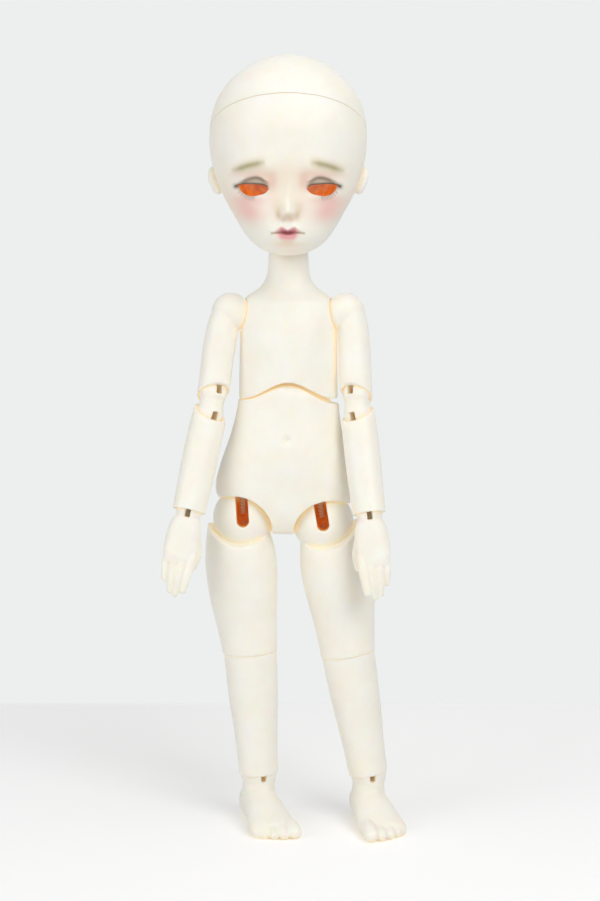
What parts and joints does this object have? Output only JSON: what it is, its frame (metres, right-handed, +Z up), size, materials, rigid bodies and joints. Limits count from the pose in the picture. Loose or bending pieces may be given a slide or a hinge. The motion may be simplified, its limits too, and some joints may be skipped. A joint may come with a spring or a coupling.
{
  "type": "ball-jointed doll",
  "caption": "Strung resin doll with a hollow head, a lift-off head cap and ball joints at neck, waist, shoulders, elbows, wrists, hips, knees and ankles.",
  "frame": {"origin": "on the floor, under the middle of the standing doll's box", "axes": "+Z up, the doll faces -Y, its right side lies at -X"},
  "size_m": [0.0864, 0.0578, 0.2699],
  "materials": {
    "resin": "matt cast polyurethane resin, cream",
    "hook_wire": "bent steel wire",
    "magnet": "plated disc magnet",
    "elastic": "white covered elastic cord"
  },
  "bodies": {
    "pelvis": {"pelvis": "resin", "pelvis_elastic": "elastic"},
    "chest": {"chest": "resin", "trunk_elastic": "elastic"},
    "neck_string": {"neck_elastic": "elastic"},
    "neck_hook": {"neck_hook": "hook_wire"},
    "head": {"head_face": "resin", "face_magnet_right": "magnet", "face_magnet_left": "magnet"},
    "head_cap": {"head_cap": "resin", "cap_magnet_right": "magnet", "cap_magnet_left": "magnet"},
    "shoulder_string_right": {"shoulder_elastic_right": "elastic"},
    "upper_arm_right": {"upper_arm_right": "resin", "upper_arm_elastic_right": "elastic"},
    "elbow_right": {"elbow_ball_right": "resin", "elbow_elastic_right": "elastic"},
    "forearm_right": {"forearm_right": "resin", "forearm_elastic_right": "elastic"},
    "hand_hook_right": {"hand_hook_right": "hook_wire"},
    "hand_right": {"hand_right": "resin"},
    "hip_string_right": {"hip_elastic_right": "elastic"},
    "thigh_right": {"thigh_right": "resin", "thigh_elastic_right": "elastic"},
    "shin_right": {"shin_right": "resin", "shin_elastic_right": "elastic"},
    "foot_hook_right": {"foot_hook_right": "hook_wire"},
    "foot_right": {"foot_right": "resin"},
    "shoulder_string_left": {"shoulder_elastic_left": "elastic"},
    "upper_arm_left": {"upper_arm_left": "resin", "upper_arm_elastic_left": "elastic"},
    "elbow_left": {"elbow_ball_left": "resin", "elbow_elastic_left": "elastic"},
    "forearm_left": {"forearm_left": "resin", "forearm_elastic_left": "elastic"},
    "hand_hook_left": {"hand_hook_left": "hook_wire"},
    "hand_left": {"hand_left": "resin"},
    "hip_string_left": {"hip_elastic_left": "elastic"},
    "thigh_left": {"thigh_left": "resin", "thigh_elastic_left": "elastic"},
    "shin_left": {"shin_left": "resin", "shin_elastic_left": "elastic"},
    "foot_hook_left": {"foot_hook_left": "hook_wire"},
    "foot_left": {"foot_left": "resin"}
  },
  "joints": [
    {"name": "waist_bend", "type": "hinge", "parent": "pelvis", "child": "chest", "pos_m": [0.00133, 0.00028, 0.14815], "axis": [1, 0, 0], "range_deg": [-5, 5]},
    {"name": "neck_tilt", "type": "hinge", "parent": "chest", "child": "neck_string", "pos_m": [0.00133, 0.00288, 0.20515], "axis": [0, 0.9986, 0.0523], "range_deg": [-10, 10]},
    {"name": "neck_nod", "type": "hinge", "parent": "neck_string", "child": "neck_hook", "pos_m": [0.00133, 0.00288, 0.20515], "axis": [1, 0, 0], "range_deg": [-15, 12]},
    {"name": "head_turn", "type": "hinge", "parent": "neck_hook", "child": "head", "pos_m": [0.00133, 0.00288, 0.20515], "axis": [0, -0.0523, 0.9986], "range_deg": [-70, 70]},
    {"name": "cap_lift", "type": "slide", "parent": "head", "child": "head_cap", "axis": [0, 0.4848, 0.8746], "range_m": [0, 0.03]},
    {"name": "shoulder_swing_right", "type": "hinge", "parent": "chest", "child": "shoulder_string_right", "pos_m": [-0.01867, 0.00028, 0.18215], "axis": [-1, 0, 0], "range_deg": [-4, 150]},
    {"name": "arm_raise_right", "type": "hinge", "parent": "shoulder_string_right", "child": "upper_arm_right", "pos_m": [-0.01867, 0.00028, 0.18215], "axis": [0, 0.9877, -0.1564], "range_deg": [0, 85]},
    {"name": "elbow_upper_right", "type": "hinge", "parent": "upper_arm_right", "child": "elbow_right", "pos_m": [-0.02483, -0.00417, 0.15406], "axis": [-0.8507, -0.4652, 0.2446], "range_deg": [0, 55]},
    {"name": "elbow_lower_right", "type": "hinge", "parent": "elbow_right", "child": "forearm_right", "pos_m": [-0.02597, -0.00559, 0.14741], "axis": [-0.8409, -0.4514, 0.2984], "range_deg": [0, 55]},
    {"name": "wrist_twist_right", "type": "hinge", "parent": "forearm_right", "child": "hand_hook_right", "pos_m": [-0.03312, -0.01479, 0.11335], "axis": [0.1986, 0.2555, 0.9462], "range_deg": [-80, 80]},
    {"name": "wrist_bend_right", "type": "hinge", "parent": "hand_hook_right", "child": "hand_right", "pos_m": [-0.03312, -0.01479, 0.11335], "axis": [-0.98, 0.0366, 0.1958], "range_deg": [-30, 40]},
    {"name": "shoulder_swing_left", "type": "hinge", "parent": "chest", "child": "shoulder_string_left", "pos_m": [0.02133, 0.00028, 0.18215], "axis": [-1, 0, 0], "range_deg": [-2, 140]},
    {"name": "arm_raise_left", "type": "hinge", "parent": "shoulder_string_left", "child": "upper_arm_left", "pos_m": [0.02133, 0.00028, 0.18215], "axis": [0, -0.9848, 0.1736], "range_deg": [0, 85]},
    {"name": "elbow_upper_left", "type": "hinge", "parent": "upper_arm_left", "child": "elbow_left", "pos_m": [0.025, -0.00473, 0.15372], "axis": [-0.8625, 0.4747, -0.1754], "range_deg": [0, 55]},
    {"name": "elbow_lower_left", "type": "hinge", "parent": "elbow_left", "child": "forearm_left", "pos_m": [0.02551, -0.00628, 0.14702], "axis": [-0.8582, 0.4609, -0.226], "range_deg": [0, 55]},
    {"name": "wrist_twist_left", "type": "hinge", "parent": "forearm_left", "child": "hand_hook_left", "pos_m": [0.02926, -0.01617, 0.11261], "axis": [-0.1042, 0.2746, 0.9559], "range_deg": [-30, 30]},
    {"name": "wrist_bend_left", "type": "hinge", "parent": "hand_hook_left", "child": "hand_left", "pos_m": [0.02926, -0.01617, 0.11261], "axis": [-0.9945, -0.0228, -0.1019], "range_deg": [-10, 40]},
    {"name": "hip_spread_right", "type": "hinge", "parent": "pelvis", "child": "hip_string_right", "pos_m": [-0.0145, 0.00028, 0.10986], "axis": [0, 1, 0], "range_deg": [-2, 24]},
    {"name": "hip_swing_right", "type": "hinge", "parent": "hip_string_right", "child": "thigh_right", "pos_m": [-0.0145, 0.00028, 0.10986], "axis": [-0.9978, 0, -0.0663], "range_deg": [-15, 50]},
    {"name": "knee_bend_right", "type": "hinge", "parent": "thigh_right", "child": "shin_right", "pos_m": [-0.01232, 0.00028, 0.0619], "axis": [0.9978, 0, 0.0663], "range_deg": [0, 80]},
    {"name": "ankle_turn_right", "type": "hinge", "parent": "shin_right", "child": "foot_hook_right", "pos_m": [-0.00934, 0.00028, 0.017], "axis": [0, 0, 1], "range_deg": [-25, 25]},
    {"name": "ankle_flex_right", "type": "hinge", "parent": "foot_hook_right", "child": "foot_right", "pos_m": [-0.00934, 0.00028, 0.017], "axis": [0.9455, 0.3256, 0], "range_deg": [-15, 25]},
    {"name": "hip_spread_left", "type": "hinge", "parent": "pelvis", "child": "hip_string_left", "pos_m": [0.01346, 0.00028, 0.10853], "axis": [0, -1, 0], "range_deg": [-5, 18]},
    {"name": "hip_swing_left", "type": "hinge", "parent": "hip_string_left", "child": "thigh_left", "pos_m": [0.01346, 0.00028, 0.10853], "axis": [-0.986, 0, -0.1668], "range_deg": [-15, 12]},
    {"name": "knee_bend_left", "type": "hinge", "parent": "thigh_left", "child": "shin_left", "pos_m": [0.02246, 0.00028, 0.06137], "axis": [0.986, 0, 0.1668], "range_deg": [0, 80]},
    {"name": "ankle_turn_left", "type": "hinge", "parent": "shin_left", "child": "foot_hook_left", "pos_m": [0.02996, 0.00028, 0.017], "axis": [0, 0, 1], "range_deg": [-25, 25]},
    {"name": "ankle_flex_left", "type": "hinge", "parent": "foot_hook_left", "child": "foot_left", "pos_m": [0.02996, 0.00028, 0.017], "axis": [0.9744, 0.225, 0], "range_deg": [-15, 25]}
  ]
}
